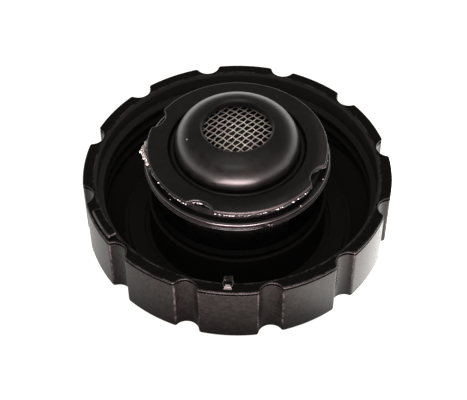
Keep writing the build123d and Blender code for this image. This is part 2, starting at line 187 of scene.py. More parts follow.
shadow_tint = bpy.data.materials.new("painted_shadow_tint")
shadow_tint.use_nodes = True
shadow_nodes, shadow_links = shadow_tint.node_tree.nodes, shadow_tint.node_tree.links
shadow_nodes.remove(shadow_nodes["Principled BSDF"])
shadow_place = shadow_nodes.new("ShaderNodeTexCoord").outputs["Object"]
shadow_frame = shadow_nodes.new("ShaderNodeMapping")
shadow_frame.inputs["Location"].default_value = (4 * mm, 10 * mm, 0)
shadow_frame.inputs["Scale"].default_value = (1.3, 1, 1)
shadow_links.new(shadow_place, shadow_frame.inputs["Vector"])
shadow_reach = vector_step(shadow_nodes, shadow_links, "LENGTH", shadow_frame.outputs["Vector"]).outputs["Value"]
# Painted shadow: the tint is darkest below the cap's front and fades out further away.
shadow_fade = span(shadow_nodes, shadow_links, shadow_reach, 26 * mm, 52 * mm, 0.15, 1.0)
shadow_sheer = shadow_nodes.new("ShaderNodeBsdfTransparent")
shadow_links.new(shadow_fade, shadow_sheer.inputs["Color"])
shadow_links.new(shadow_sheer.outputs["BSDF"], shadow_nodes["Material Output"].inputs["Surface"])
shadow_sheet.data.materials.append(shadow_tint)
print("shadow_sheet", round(shadow_sheet_size / mm), "mm wide")

# %% [markdown]
# ## The room and its lamps
# Above the table the studio is dim, so that the flange and the inside of the knob stay black, and pale at the
# horizon, for the upright faces. One big lamp would grey all of it. Instead each lamp makes one reflection: a low
# rosy panel in front gives the dome its crescent and the seal its bright edge, a faint window high in front
# lifts the tops, and a narrow spot lights the steel cloth and nothing else.

# %% Sky of the studio: pale at the horizon, dim above
world = bpy.data.worlds.new("studio")
bpy.context.scene.world = world
world.use_nodes = True
sky = world.node_tree
backdrop = sky.nodes["Background"]
direction = sky.nodes.new("ShaderNodeTexCoord")
split = sky.nodes.new("ShaderNodeSeparateXYZ")
shade = sky.nodes.new("ShaderNodeValToRGB")
sky.links.new(direction.outputs["Generated"], split.inputs["Vector"])
sky.links.new(split.outputs["Z"], shade.inputs["Fac"])
sky.links.new(shade.outputs["Color"], backdrop.inputs["Color"])
shade.color_ramp.elements[0].position = 0.0
shade.color_ramp.elements[0].color = (2.0, 1.9, 1.8, 1)
shade.color_ramp.elements[1].position = 1.0
shade.color_ramp.elements[1].color = (0.5, 0.48, 0.46, 1)
for place, level in ((0.08, 1.6), (0.25, 0.35), (0.45, 0.22), (0.8, 0.20), (0.93, 0.5)):
    shade.color_ramp.elements.new(place).color = (level, 0.95 * level, 0.9 * level, 1)
bpy.context.scene.view_settings.view_transform = "Standard"
print("sky stops", len(shade.color_ramp.elements))


# %% Lamps
def lamp(name, place, target, size, power, colour=(1, 1, 1), spread=180):
    """A soft rectangular lamp that looks at a point and stays out of the picture. Its spread is in degrees."""
    bpy.ops.object.select_all(action="DESELECT")
    bpy.ops.object.light_add(type="AREA", location=place)
    light = bpy.context.object
    light.name = name
    light.rotation_euler = (Vector(target) - Vector(place)).to_track_quat("-Z", "Y").to_euler()
    light.data.shape = "RECTANGLE"
    light.data.size, light.data.size_y = size
    light.data.energy = power
    light.data.color = colour
    light.data.spread = math.radians(spread)
    light.visible_camera = False
    print(name, power, "W")


cap_middle = (0, 0, 25 * mm)
cloth_middle = (0, 0, 33 * mm)
lamp("front_panel", (0, -0.150, 0.015), (0, -0.130, 0.115), (0.10, 0.143), 1.7, (1.0, 0.78, 0.80))
lamp("window", (-0.05, -0.45, 0.80), cap_middle, (0.4, 0.3), 0.7)
lamp("cloth_spot", (0, -0.02, 0.33), cloth_middle, (0.006, 0.006), 0.00055, (1.0, 0.95, 0.92), spread=3.6)


# %% [markdown]
# ## Tools for turned and moulded shapes
# Most pieces here are round. `rounded` turns a list of corners into a profile with small arcs, as a mould maker
# breaks every edge. `turned` extrudes one vertex along such a profile and spins it, the lathe of mesh modelling.
# A scalloped piece can't be spun, so `stacked` rolls up a grid and lays each of its rows on a ring of points.


# %% Selecting and finishing
def alone(obj):
    """Selects one object and nothing else."""
    bpy.ops.object.select_all(action="DESELECT")
    obj.select_set(True)
    bpy.context.view_layer.objects.active = obj


def smooth(obj, angle=40):
    """Smooth shading, with flat faces kept flat by normals that follow the larger face."""
    alone(obj)
    bpy.ops.object.shade_smooth_by_angle(angle=math.radians(angle))
    weigh = obj.modifiers.new("weighted", "WEIGHTED_NORMAL")
    weigh.keep_sharp = True
    weigh.weight = 80
    bpy.ops.object.modifier_apply(modifier=weigh.name)


def close_mesh(obj):
    """Merges doubled points, and turns all faces outwards."""
    alone(obj)
    bpy.ops.object.mode_set(mode="EDIT")
    bpy.ops.mesh.select_all(action="SELECT")
    bpy.ops.mesh.remove_doubles(threshold=0.002 * mm)
    bpy.ops.mesh.normals_make_consistent(inside=False)
    bpy.ops.object.mode_set(mode="OBJECT")


def joined(name, pieces):
    """Joins pieces into the first one."""
    bpy.ops.object.select_all(action="DESELECT")
    for piece in pieces:
        piece.select_set(True)
    bpy.context.view_layer.objects.active = pieces[0]
    bpy.ops.object.join()
    pieces[0].name = name
    return pieces[0]


# %% Profiles with broken edges
def rounded(corners, closed=False, steps=3):
    """Points of a profile. corners are (x, y, round) in millimetres, and each round corner becomes an arc."""
    points, count = [], len(corners)
    for index, (x, y, size) in enumerate(corners):
        corner = Vector((x, y))
        at_end = not closed and index in (0, count - 1)
        if size == 0 or at_end:
            points.append(corner)
            continue
        before = Vector(corners[index - 1][:2]) - corner
        after = Vector(corners[(index + 1) % count][:2]) - corner
        half = before.angle(after) / 2
        start = corner + before.normalized() * size / math.tan(half)
        end = corner + after.normalized() * size / math.tan(half)
        centre = corner + (before.normalized() + after.normalized()).normalized() * size / math.sin(half)
        arm, sweep = start - centre, (start - centre).angle_signed(end - centre)
        for step in range(steps + 1):
            turn = -sweep * step / steps
            points.append(centre + Matrix.Rotation(turn, 2) @ arm)
    if closed:
        points.append(points[0].copy())
    return [(point.x * mm, point.y * mm) for point in points]


# %% The lathe
def turned(name, profile, steps=224, start=0.0, sweep=360.0):
    """Spins a profile of (radius, height) points about the cap's axis."""
    bpy.ops.object.select_all(action="DESELECT")
    bpy.ops.mesh.primitive_plane_add(size=mm)
    obj = bpy.context.object
    obj.name = name
    bpy.ops.object.mode_set(mode="EDIT")
    bpy.ops.mesh.merge(type="CENTER")
    angle = math.radians(start)
    places = [Vector((radius * math.cos(angle), radius * math.sin(angle), z)) for radius, z in profile]
    bpy.ops.transform.translate(value=places[0])
    for here, there in zip(places, places[1:]):
        bpy.ops.mesh.extrude_region_move(TRANSFORM_OT_translate={"value": there - here})
    bpy.ops.mesh.select_all(action="SELECT")
    bpy.ops.mesh.spin(steps=steps, angle=math.radians(sweep), center=(0, 0, 0), axis=(0, 0, 1))
    bpy.ops.object.mode_set(mode="OBJECT")
    close_mesh(obj)
    return obj


# %% The rolled grid
def stacked(name, rings):
    """A skin over rings of equally many points, from the first ring to the last."""
    across, rows = len(rings[0]), len(rings)
    bpy.ops.object.select_all(action="DESELECT")
    bpy.ops.mesh.primitive_grid_add(x_subdivisions=across, y_subdivisions=rows - 1, size=1)
    obj = bpy.context.object
    obj.name = name
    width = len(obj.data.vertices) // rows
    for vertex in obj.data.vertices:
        row, column = divmod(vertex.index, width)
        vertex.co = rings[row][column % across]
    close_mesh(obj)
    return obj


# %% [markdown]
# ## An outline with round notches
# Both the knob's skirt and the flange of the valve cover are circles with round bites. One function gives the
# outline of either, moved inwards by any inset: the circle shrinks, the bite grows, and the little corner between
# them keeps its centre. Every inset has the same number of points, so such rings can be stacked into a wall.


# %% Notched outline
def arc(centre, radius, start, end, steps):
    """Points on an arc, both ends included."""
    angles = [start + (end - start) * step / steps for step in range(steps + 1)]
    return [(centre[0] + radius * math.cos(a), centre[1] + radius * math.sin(a)) for a in angles]


def notched(shape, inset, z):
    """One ring of the notched outline at height z."""
    centre = shape["radius"] - shape["depth"] + shape["bite"]
    outer, bite = shape["radius"] - inset, shape["bite"] + inset
    corner = max(shape["corner"] - inset, 0.02 * mm)
    near, far = outer - corner, bite + corner
    half = math.acos((near**2 + centre**2 - far**2) / (2 * near * centre))
    low = (near * math.cos(half), -near * math.sin(half))
    lean = math.atan2(-low[1], centre - low[0])
    one = arc(low, corner, -half, lean, shape["corner_steps"])
    one += arc((centre, 0), bite, math.pi + lean, math.pi - lean, shape["bite_steps"])[1:-1]
    one += [(x, -y) for x, y in reversed(one[: shape["corner_steps"] + 1])]
    points = []
    angles = sorted(shape["angles"])
    for angle, following in zip(angles, angles[1:] + [angles[0] + 360]):
        turn = Matrix.Rotation(math.radians(angle), 2)
        points += [turn @ Vector(point) for point in one]
        steps = max(4, round((following - angle) / shape["step"]))
        ends = math.radians(angle) + half, math.radians(following) - half
        points += [Vector(point) for point in arc((0, 0), outer, *ends, steps)[1:-1]]
    return [(point.x, point.y, z) for point in points]


def circle_like(ring, radius, z):
    """A circle whose points have the same angles as those of a notched ring."""
    return [(radius * x / math.hypot(x, y), radius * y / math.hypot(x, y), z) for x, y, _ in ring]


# %% [markdown]
# ## Black plastic that has a life
# A perfect black would swallow the picture. The real knob is carbon-black plastic with a satin mould finish,
# cloudy where hands and steam have been, with a brownish film in the hollows and finer grain on top. The
# shader below mixes two dark tones by a soft noise, changes the gloss by another, and adds a fine bump. All
# patterns read Object coordinates in metres, so a noise scale of 400 gives clouds about 2.5 millimetres wide.


# %% Shader helper
def noise_node(nodes, links, coordinates, scale, detail, roughness=0.55):
    """A noise texture on the piece's own coordinates."""
    cloud = nodes.new("ShaderNodeTexNoise")
    cloud.inputs["Scale"].default_value = scale
    cloud.inputs["Detail"].default_value = detail
    cloud.inputs["Roughness"].default_value = roughness
    links.new(coordinates, cloud.inputs["Vector"])
    return cloud.outputs["Fac"]


def ramp_node(nodes, links, source, stops):
    """A colour ramp with the given (place, colour) stops."""
    ramp = nodes.new("ShaderNodeValToRGB")
    links.new(source, ramp.inputs["Fac"])
    first, last = ramp.color_ramp.elements[0], ramp.color_ramp.elements[1]
    first.position, first.color = stops[0][0], (*stops[0][1], 1)
    last.position, last.color = stops[-1][0], (*stops[-1][1], 1)
    for place, colour in stops[1:-1]:
        ramp.color_ramp.elements.new(place).color = (*colour, 1)
    return ramp.outputs["Color"]


def clouded(name, dark, light, gloss, cloud_scale, grain_scale, grain_depth, metallic=0.0, level=0.5):
    """A material of two mixed tones, with clouded gloss between two roughness values and a fine grain."""
    material = bpy.data.materials.new(name)
    material.use_nodes = True
    nodes, links = material.node_tree.nodes, material.node_tree.links
    shader = nodes["Principled BSDF"]
    shader.inputs["Metallic"].default_value = metallic
    shader.inputs["Specular IOR Level"].default_value = level
    place = nodes.new("ShaderNodeTexCoord").outputs["Object"]
    cloud = noise_node(nodes, links, place, cloud_scale, 6)
    links.new(ramp_node(nodes, links, cloud, [(0.35, dark), (0.68, light)]), shader.inputs["Base Color"])
    haze = noise_node(nodes, links, place, cloud_scale * 2.7, 5)
    tones = [(0.3, (gloss[0],) * 3), (0.7, (gloss[1],) * 3)]
    links.new(ramp_node(nodes, links, haze, tones), shader.inputs["Roughness"])
    grain = noise_node(nodes, links, place, grain_scale, 4, 0.6)
    bump = nodes.new("ShaderNodeBump")
    bump.inputs["Strength"].default_value = 1.0
    bump.inputs["Distance"].default_value = grain_depth
    links.new(grain, bump.inputs["Height"])
    links.new(bump.outputs["Normal"], shader.inputs["Normal"])
    return material


# %% [markdown]
# ## Dust, painted shade and painted light by masks
# A used cap is dusty inside, where no hand reaches, and that dust is also made pale enough to stand in for the light
# the inside catches. Shade and light are painted too: the skirt darker towards the floor, the inner wall paler near
# the rim, pale painted highlights along the outer edges, and a paler painted edge on the flange. Such marks could be
# painted on an image. Here each one is a mask worked out from the piece's own coordinates: a radius, a height or a
# direction, times a noise that breaks it up. The colour of the dust, the shade or the light is laid over the plastic's
# own where the mask is one, so it stays on its edge from any side.


# %% Mask helpers
def off_axis(nodes, links, place):
    """How far a point is from the cap's axis."""
    flat = vector_step(nodes, links, "MULTIPLY", place, (1, 1, 0)).outputs["Vector"]
    return vector_step(nodes, links, "LENGTH", flat).outputs["Value"]


def product(nodes, links, first, *others):
    """The product of all given values."""
    for other in others:
        times = nodes.new("ShaderNodeMath")
        times.operation = "MULTIPLY"
        links.new(first, times.inputs[0])
        links.new(other, times.inputs[1])
        first = times.outputs["Value"]
    return first


def laid_over(material, socket, mask, colour):
    """Lays a colour over what feeds a socket of the shader, where the mask is one."""
    nodes, links = material.node_tree.nodes, material.node_tree.links
    target = nodes["Principled BSDF"].inputs[socket]
    blend = nodes.new("ShaderNodeMix")
    blend.data_type = "RGBA"
    factor, below, above = blend.inputs[0], blend.inputs[6], blend.inputs[7]
    above.default_value = (*colour, 1)
    links.new(mask, factor)
    links.new(target.links[0].from_socket, below)
    links.new(blend.outputs[2], target)


# %% Where a point lies
def whereabouts(material):
    """A material's nodes and links, and the place of a point, its height and its distance from the axis."""
    nodes, links = material.node_tree.nodes, material.node_tree.links
    place = nodes.new("ShaderNodeTexCoord").outputs["Object"]
    axes = nodes.new("ShaderNodeSeparateXYZ")
    links.new(place, axes.inputs["Vector"])
    return nodes, links, place, axes.outputs["Z"], off_axis(nodes, links, place)


# %% Painted shade, painted light and dust in the knob
def painted_shade_light_and_dust(material):
    """Paints shade on the skirt, darker downwards, dulls the inside with dust that also stands in for light, and
    paints light on the inner wall near the rim.
    """
    nodes, links, _, height, radius = whereabouts(material)
    base = nodes["Principled BSDF"].inputs["Base Color"]
    # Painted shade: the base colour grows darker towards the bottom of the skirt, where the floor next to it lies in
    # shadow.
    painted_shade_scale = nodes.new("ShaderNodeVectorMath")
    painted_shade_scale.operation = "SCALE"
    links.new(base.links[0].from_socket, painted_shade_scale.inputs[0])
    links.new(span(nodes, links, height, 2 * mm, 18 * mm, 0.25, 0.65), painted_shade_scale.inputs["Scale"])
    links.new(painted_shade_scale.outputs["Vector"], base)

    # Dust inside, its pale tone also standing in for the light that the inner walls catch.
    inside = span(nodes, links, radius, 34.75 * mm, 34.45 * mm)
    laid_over(material, "Base Color", inside, (0.019, 0.0178, 0.0168))
    laid_over(material, "Roughness", inside, (0.55, 0.55, 0.55))
    # Painted light: the inner wall is paler near the rim, where more light reaches it.
    painted_light_near_rim = product(nodes, links, inside, span(nodes, links, height, 12 * mm, 17 * mm))
    laid_over(material, "Base Color", painted_light_near_rim, (0.046, 0.042, 0.039))


# %% Painted highlights in bands
def painted_highlight_band(material, colour, radii, heights, grain, patches):
    """Paints a pale highlight band. radii and heights are (from, to) steps in millimetres, patches the noise's (from,
    to, low).
    """
    nodes, links, place, height, radius = whereabouts(material)
    masks = [span(nodes, links, radius, start * mm, end * mm) for start, end in radii]
    masks += [span(nodes, links, height, start * mm, end * mm) for start, end in heights]
    masks.append(span(nodes, links, noise_node(nodes, links, place, *grain), *patches))
    laid_over(material, "Base Color", product(nodes, links, *masks), colour)


# %% [markdown]
# ## Painted light on the flange
# The flange's edge is paler in front and on the right, as where light from that side falls on it. A lamp there
# would also light the dome, which stays dark, so this light is painted instead: a mask again, of a direction,
# times a radius, times clouds.


# %% Painted light on the flange
def painted_side_light(material):
    """Paints light as a paler band along the flange's edge, in front and on the right."""
    nodes, links, place, _, radius = whereabouts(material)
    slope = vector_step(nodes, links, "DOT_PRODUCT", place, (0.8, -0.6, 0)).outputs["Value"]
    mask = product(
        nodes,
        links,
        span(nodes, links, slope, 4 * mm, 16 * mm),
        span(nodes, links, radius, 18.6 * mm, 20.6 * mm),
        span(nodes, links, noise_node(nodes, links, place, 260, 4, 0.6), 0.3, 0.7, 0.55, 1.0),
    )
    # Painted light: a paler tone where light from the front and the right would fall on the edge.
    laid_over(material, "Base Color", mask, (0.05, 0.044, 0.043))


# %% [markdown]
# ## The finishes
# Each finish is the same shader with its own tones, gloss and grain. The knob is satin and reflects little, the
# insert is smoother, the weld's melt is glossy, and the rubber mirrors the panel in one sharp line. The strainer's
# steel is only partly metallic, so that its wires stay pale where they mirror a dark room. The knob gets painted
# highlights at the outer corners of its notches, at the brink of its rim, and on the pad and the nib that stand up
# from it, and painted shade that darkens its skirt downwards.

# %% Knob plastic
knob_plastic = clouded(
    "knob_plastic", (0.0060, 0.0053, 0.0048), (0.015, 0.0135, 0.012), (0.24, 0.33), 900, 2600, 0.010 * mm, level=0.13
)
painted_shade_light_and_dust(knob_plastic)
# Painted highlights: pale tones at the notches' outer corners, at the rim's brink and along the tops of the pad and
# the nib.
corners, brink, bosses = (0.052, 0.046, 0.045), (0.09, 0.08, 0.08), (0.09, 0.085, 0.083)
painted_highlight_band(knob_plastic, corners, [(37.05, 37.25), (37.48, 37.40)], [(4, 8)], (500, 5, 0.7), (0.4, 0.65))
painted_highlight_band(knob_plastic, brink, [(34.6, 34.75), (35.05, 34.9)], [(19.4, 19.7)], (400, 5, 0.7), (0.4, 0.6))
painted_highlight_band(knob_plastic, bosses, [], [(20.25, 20.4), (20.69, 20.6)], (700, 3, 0.6), (0.3, 0.6, 0.2))
print("knob plastic nodes", len(knob_plastic.node_tree.nodes))

# %% Plastics of the insert
insert_plastic = clouded(
    "insert_plastic", (0.004, 0.0037, 0.0034), (0.011, 0.0102, 0.0095), (0.27, 0.36), 420, 3600, 0.006 * mm, level=0.42
)
painted_side_light(insert_plastic)
carrier_plastic = clouded(
    "carrier_plastic", (0.005, 0.005, 0.005), (0.010, 0.0097, 0.0095), (0.20, 0.28), 420, 3600, 0.004 * mm, level=0.1
)
weld_plastic = clouded(
    "weld_plastic", (0.004, 0.0032, 0.0032), (0.012, 0.0095, 0.0095), (0.12, 0.24), 900, 3000, 0.002 * mm, level=0.9
)
valve_plastic = clouded(
    "valve_plastic", (0.003, 0.003, 0.003), (0.008, 0.008, 0.008), (0.45, 0.6), 400, 3000, 0.006 * mm, level=0.1
)
print("insert plastic nodes", len(insert_plastic.node_tree.nodes))

# %% Rubber, steel and lime
seal_rubber = clouded(
    "seal_rubber", (0.005, 0.0036, 0.0042), (0.013, 0.0095, 0.011), (0.16, 0.22), 500, 2200, 0.0008 * mm, level=0.8
)
screen_steel = clouded(
    "screen_steel", (0.90, 0.80, 0.74), (1.0, 0.95, 0.91), (0.25, 0.45), 900, 5000, 0.003 * mm, metallic=0.3
)
spring_steel = clouded(
    "spring_steel", (0.3, 0.3, 0.31), (0.6, 0.6, 0.6), (0.25, 0.42), 500, 4000, 0.004 * mm, metallic=1.0
)
lime_crust = clouded("lime_crust", (0.32, 0.27, 0.24), (0.86, 0.83, 0.8), (0.6, 0.85), 1500, 5200, 0.06 * mm)
print("materials", len(bpy.data.materials))


# %% Handing a piece over
def finish(piece, material, body, slot, *nodes):
    """Gives a new piece its material, its body and the nodes that it stands for; the slot is not used."""
    piece.data.materials.clear()
    piece.data.materials.append(material)
    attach(piece, body)
    if nodes:
        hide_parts(*nodes)
    print(piece.name, "triangles", sum(len(face.vertices) - 2 for face in piece.data.polygons))


# %% [markdown]
# ## The knob
# The knob is one moulding: a raised crown below, a skirt with twelve grip notches, a fine groove that sets off
# the lip, and inside it the wall, the sealing land and the collar for the insert. Cutting twelve cylinders out of
# a disc would be quick, and would leave sharp edges. Stacked rings give every edge its own small round: circles for
# the crown, notched outlines for the skirt, and circles again for everything inside.

# %% Knob profile
notch_count, notch_phase = 12, -78.3
knob_shape = {
    "radius": knob_radius,
    "angles": [notch_phase + index * 360 / notch_count for index in range(notch_count)],
    "bite": 2.9 * mm,
    "depth": 2.3 * mm,
    "corner": 0.7 * mm,
    "corner_steps": 5,
    "bite_steps": 14,
    "step": 1.8,
}
crown = rounded([(0, 0, 0), (9, 0, 0), (18, 0, 0), (27, 0, 0.8), (32.5, 2.5, 0.3), (32.6, 2.5, 0)])
skirt = rounded(
    [
        (1.9, 2.5, 0),
        (0, 2.5, 1.6),
        (0, 18.7, 0.12),
        (0.8, 18.75, 0.05),
        (0.8, 19.2, 0.05),
        (0, 19.25, 0.1),
        (0, 19.8, 0.36),
        (0.5, 19.8, 0),
    ],
    steps=4,
)
inside = rounded(
    [
        (34.9, 19.8, 0),
        (34.65, 19.8, 0.35),
        (34.1, 19.2, 0.35),
        (34.1, 6.0, 0.5),
        (32.9, 5.0, 0.6),
        (28.5, 1.8, 0.4),
        (27.5, 1.8, 0.15),
        (27.5, 2.3, 0.12),
        (23.4, 2.3, 0.12),
        (23.4, 1.8, 0.15),
        (22.0, 1.8, 0.3),
        (22.0, 11.8, 0.3),
        (20.55, 11.8, 0.25),
        (20.55, 10.6, 0.1),
        (19.8, 10.225, 0.15),
        (19.8, 9.375, 0.15),
        (20.55, 9.0, 0.1),
        (20.55, 1.8, 0.2),
        (9.0, 1.8, 0),
        (0, 1.8, 0),
    ]
)
print("knob profile points", len(crown) + len(skirt) + len(inside))

# %% Knob body
pattern = notched(knob_shape, 0, 0)
knob_rings = [circle_like(pattern, radius, z) for radius, z in crown]
knob_rings += [notched(knob_shape, inset, z) for inset, z in skirt]
knob_rings += [circle_like(pattern, radius, z) for radius, z in inside]
knob = stacked("knob", knob_rings)
print("knob rings", len(knob_rings), "points each", len(pattern))

# %% [markdown]
# ## Thread, pad and stop nib
# The thread could be cut by a boolean. Here it is a trapezoid carried round by the Screw modifier, which lifts a
# profile as it turns it, and whose ends are then let run out into the wall, as a moulded thread's do. A pad and a
# nib stand on the rim, where the filler neck's own stops catch them. They are a short sweep and an extruded side
# view, joined to the knob because they came out of the same mould.

# %% Thread profile
thread_pitch, thread_turns, screw_steps = 3.75 * mm, 2.75, 300
thread_root, thread_start = 34.1 * mm, -20
run_out, blunt, lead_in = 40, 2, 3.6 * mm
thread_low = rim_z - lead_in - thread_turns * thread_pitch
thread_profile = rounded(
    [(34.4, -1.25, 0), (34.1, -1.25, 0), (32.7, -0.5, 0.3), (32.7, 0.5, 0.3), (34.1, 1.25, 0), (34.4, 1.25, 0)]
)
lifted = [(radius, z + thread_low) for radius, z in thread_profile]
thread = turned("thread", lifted + lifted[:1], steps=1, sweep=0.001)
alone(thread)
bpy.ops.object.mode_set(mode="EDIT")
bpy.ops.mesh.select_all(action="SELECT")
bpy.ops.mesh.remove_doubles(threshold=0.01 * mm)
bpy.ops.mesh.delete(type="ONLY_FACE")
bpy.ops.object.mode_set(mode="OBJECT")
print("thread starts", round(thread_low / mm, 2), "mm up")

# %% Thread
screw = thread.modifiers.new("rise", "SCREW")
screw.angle = thread_turns * math.tau
screw.screw_offset = thread_turns * thread_pitch
screw.steps = screw.render_steps = screw_steps
bpy.ops.object.modifier_apply(modifier=screw.name)
row = len(thread.data.vertices) // (screw_steps + 1)
for vertex in thread.data.vertices:
    turned_by = 360 * thread_turns * (vertex.index // row) / screw_steps
    left_over = 360 * thread_turns - turned_by
    fade = min(1.0, (turned_by + blunt) / run_out, (left_over + blunt) / run_out)
    radius = math.hypot(vertex.co.x, vertex.co.y)
    if radius < thread_root:
        wanted = thread_root + (radius - thread_root) * fade
        vertex.co.x *= wanted / radius
        vertex.co.y *= wanted / radius
bpy.ops.object.mode_set(mode="EDIT")
bpy.ops.mesh.select_all(action="SELECT")
bpy.ops.mesh.fill_holes(sides=0)
bpy.ops.mesh.select_all(action="SELECT")
bpy.ops.transform.rotate(value=math.radians(thread_start), orient_axis="Z", center_override=(0, 0, 0))
bpy.ops.object.mode_set(mode="OBJECT")
close_mesh(thread)

# %% Pad
pad_profile = rounded([(34.6, 19.4, 0), (34.6, 20.7, 0.3), (36.9, 20.7, 0.7), (36.9, 19.4, 0)], steps=5)
pad = turned("pad", pad_profile + pad_profile[:1], steps=14, start=-144.0, sweep=14.5)
alone(pad)
bpy.ops.object.mode_set(mode="EDIT")
bpy.ops.mesh.select_all(action="SELECT")
bpy.ops.mesh.fill_holes(sides=0)
bpy.ops.object.mode_set(mode="OBJECT")
close_mesh(pad)
soften = pad.modifiers.new("soften", "BEVEL")
soften.width, soften.segments, soften.limit_method = 0.3 * mm, 3, "ANGLE"
soften.angle_limit = math.radians(50)
bpy.ops.object.modifier_apply(modifier=soften.name)
print("pad faces", len(pad.data.polygons))

# %% Stop nib
nib_side = [
    (33.1, 18.3),
    (33.1, 20.8),
    (33.6, 21.3),
    (34.7, 21.3),
    (35.1, 20.6),
    (35.5, 21.3),
    (36.1, 21.3),
    (36.6, 19.8),
    (36.6, 19.55),
    (34.6, 18.3),
]
nib_width, nib_angle = 2.3 * mm, -93.5
nib_foot, nib_split, nib_tops = 33.1 * mm, 35 * mm, 21.2 * mm
outer_taper, inner_taper, close = 0.45, 0.7, 0.01 * mm
bpy.ops.object.select_all(action="DESELECT")
bpy.ops.mesh.primitive_circle_add(vertices=len(nib_side), radius=mm, fill_type="NGON")
nib = bpy.context.object
for vertex, (radius, z) in zip(nib.data.vertices, nib_side):
    vertex.co = (radius * mm, -nib_width / 2, z * mm)
bpy.ops.object.mode_set(mode="EDIT")
bpy.ops.mesh.select_all(action="SELECT")
bpy.ops.mesh.extrude_region_move(TRANSFORM_OT_translate={"value": (0, nib_width, 0)})
bpy.ops.mesh.select_all(action="DESELECT")
bpy.ops.object.mode_set(mode="OBJECT")
for vertex in nib.data.vertices:
    if vertex.co.z > nib_tops:
        vertex.co.y *= outer_taper if vertex.co.x > nib_split else inner_taper
for edge in nib.data.edges:
    ends = [nib.data.vertices[index].co for index in edge.vertices]
    upright = abs(ends[0].y - ends[1].y) < close
    edge.select = upright and all(abs(end.x - nib_foot) < close for end in ends)
bpy.ops.object.mode_set(mode="EDIT")
bpy.ops.mesh.bevel(offset=1.0 * mm, segments=6, affect="EDGES")
bpy.ops.mesh.select_all(action="SELECT")
bpy.ops.transform.rotate(value=-math.radians(nib_angle), orient_axis="Z", center_override=(0, 0, 0))
bpy.ops.object.mode_set(mode="OBJECT")
close_mesh(nib)
soften = nib.modifiers.new("soften", "BEVEL")
soften.width, soften.segments, soften.limit_method = 0.24 * mm, 4, "ANGLE"
soften.angle_limit = math.radians(35)
bpy.ops.object.modifier_apply(modifier=soften.name)
centre = sum((v.co for v in nib.data.vertices), Vector()) / len(nib.data.vertices)
print("nib at", round(math.degrees(math.atan2(centre.y, centre.x)), 1), "degrees")

# %% Knob in one piece
knob = joined("knob", [knob, thread, pad, nib])
smooth(knob)
finish(knob, knob_plastic, "shell", "knob_plastic", "cap_shell")

# %% [markdown]
# ## The valve cover
# The dome, its moat and its flange with three thumb notches are one moulding. A lathe could turn all but the
# notches, so it is stacked as the knob is. The rings run as one closed loop
# through the section: over the dome, out to the notched edge, back under it to the spigot, and up inside to the
# ledge that the steel cloth is pressed against.

# %% Cover profile
cover_shape = {
    "radius": 21.5 * mm,
    "angles": [-113.8, -27.3, 155.3],
    "bite": 4.2 * mm,
    "depth": 1.9 * mm,
    "corner": 0.7 * mm,
    "corner_steps": 5,
    "bite_steps": 16,
    "step": 0.8,
}
dome = rounded(
    [
        (8.2, 33.2, 0),
        (8.2, 34.93, 0.4),
        (8.75, 35.3, 0.05),
        (14.85, 35.3, 6.0),
        (14.85, 27.6, 0.7),
        (16.4, 27.6, 0.7),
        (16.4, 28.8, 0.4),
        (17.6, 28.8, 0),
    ],
    steps=9,
)
edge = rounded([(0.6, 28.8, 0), (0, 28.8, 0.3), (0.12, 27.8, 0.15), (0.6, 27.8, 0)], steps=6)
under = rounded(
    [
        (18.2, 27.8, 0),
        (18.2, 26.9, 0.15),
        (13.4, 26.9, 0.15),
        (13.4, 31.8, 0.1),
        (10.8, 31.8, 0.15),
        (10.8, 33.2, 0.1),
        (8.2, 33.2, 0),
    ]
)
print("cover profile points", len(dome) + len(edge) + len(under))

# %% Cover
pattern = notched(cover_shape, 0, 0)
cover_rings = [circle_like(pattern, radius, z) for radius, z in dome]
cover_rings += [notched(cover_shape, inset, z) for inset, z in edge]
cover_rings += [circle_like(pattern, radius, z) for radius, z in under]
cover = stacked("dome_cover", cover_rings)
smooth(cover)
finish(cover, insert_plastic, "insert", "insert_plastic", "valve_cover")

# %% [markdown]
# ## The bore seal
# A plain rubber ring, but its upper edge carries the brightest line of the picture, so its rounding matters. A
# torus would be quicker and would lose the fine lip below. So the ring is turned from its own profile, its outline
# is made a hair uneven, as a ring that has been squeezed is, and the lip gets the nick that the photograph shows.

# %% Seal
nick_angle, nick_half, nick_depth = -72, 2, 0.3 * mm
seal_profile = rounded(
    [
        (19.6, 23.7, 0.1),
        (22.0, 23.7, 0.1),
        (22.05, 23.3, 0.1),
        (22.36, 23.3, 0.1),
        (22.38, 23.65, 0.14),
        (22.08, 23.85, 0.1),
        (22.08, 24.75, 0.1),
        (22.3, 24.8, 0.08),
        (22.3, 25.5, 0.6),
        (19.6, 25.5, 0.1),
    ],
    closed=True,
    steps=8,
)
seal = turned("rubber_seal", seal_profile, steps=360)
for vertex in seal.data.vertices:
    outwards = Vector((vertex.co.x, vertex.co.y, 0)).normalized()
    vertex.co += outwards * (noise.noise(vertex.co * 250) - 1) * 0.03 * mm
    nicked = abs(math.degrees(math.atan2(outwards.y, outwards.x)) - nick_angle) < nick_half
    if nicked and vertex.co.z < 24 * mm and vertex.co.xy.length > 22 * mm:
        vertex.co -= outwards * nick_depth
smooth(seal)
finish(seal, seal_rubber, "insert", "seal_rubber", "bore_seal")

# %% [markdown]
# ## Woven steel cloth
# The strainer is plain-weave wire cloth, a little wider meshed one way than the other, and pressed up into a
# shallow dome. A see-through texture would do from afar, but here one looks through the holes into the chamber.
# So each wire is a curve that rises over one crossing and dips under the next. A bevel gives the curves their
# round section, and converting them gives one light mesh.

